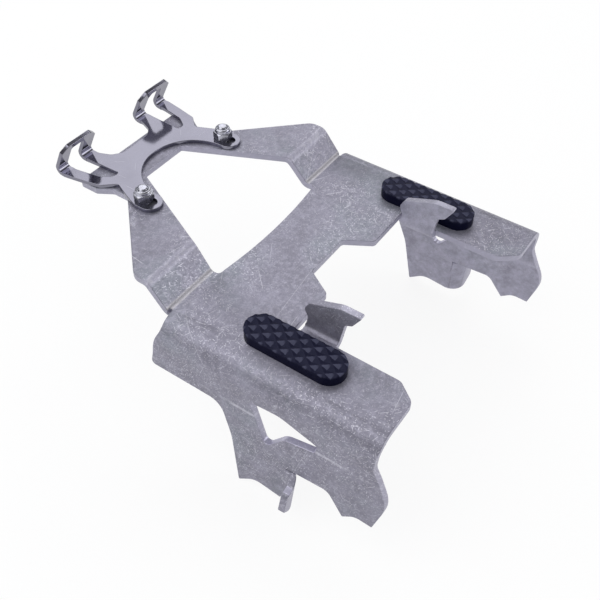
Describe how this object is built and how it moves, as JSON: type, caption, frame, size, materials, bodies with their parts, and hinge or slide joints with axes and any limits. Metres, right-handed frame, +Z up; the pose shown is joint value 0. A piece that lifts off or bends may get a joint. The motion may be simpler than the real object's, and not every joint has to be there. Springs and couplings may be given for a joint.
{
  "type": "ski crampon",
  "caption": "Clip-on ski crampon: bent aluminium plate with toothed side blades, rubber tread pads, rear hooks and a sliding steel hook clip held by bolts and lock nuts",
  "frame": {"origin": "on the underside of the plate, on the symmetry plane, in the middle of the cross web", "axes": "+X to the wearer's right, +Y forward towards the hook clip, +Z up away from the ski"},
  "size_m": [0.1524, 0.1774, 0.0873],
  "materials": {
    "scratched_aluminium": "satin, scratched",
    "polished_steel": "mirror polished",
    "zinc_steel": "bright zinc",
    "nylon": "matte",
    "black_rubber": "moulded, semi-matte"
  },
  "bodies": {
    "plate": {"main_plate": "scratched_aluminium", "left_pad": "black_rubber", "right_pad": "black_rubber", "left_bolt": "zinc_steel", "right_bolt": "zinc_steel", "left_lock_nut": "zinc_steel", "right_lock_nut": "zinc_steel", "left_nut_ring": "nylon", "right_nut_ring": "nylon"},
    "clip": {"hook_clip": "polished_steel"}
  },
  "joints": [
    {"name": "clip_slide", "type": "slide", "parent": "plate", "child": "clip", "axis": [0, 1, 0], "range_m": [-0.002, 0.0036]}
  ]
}
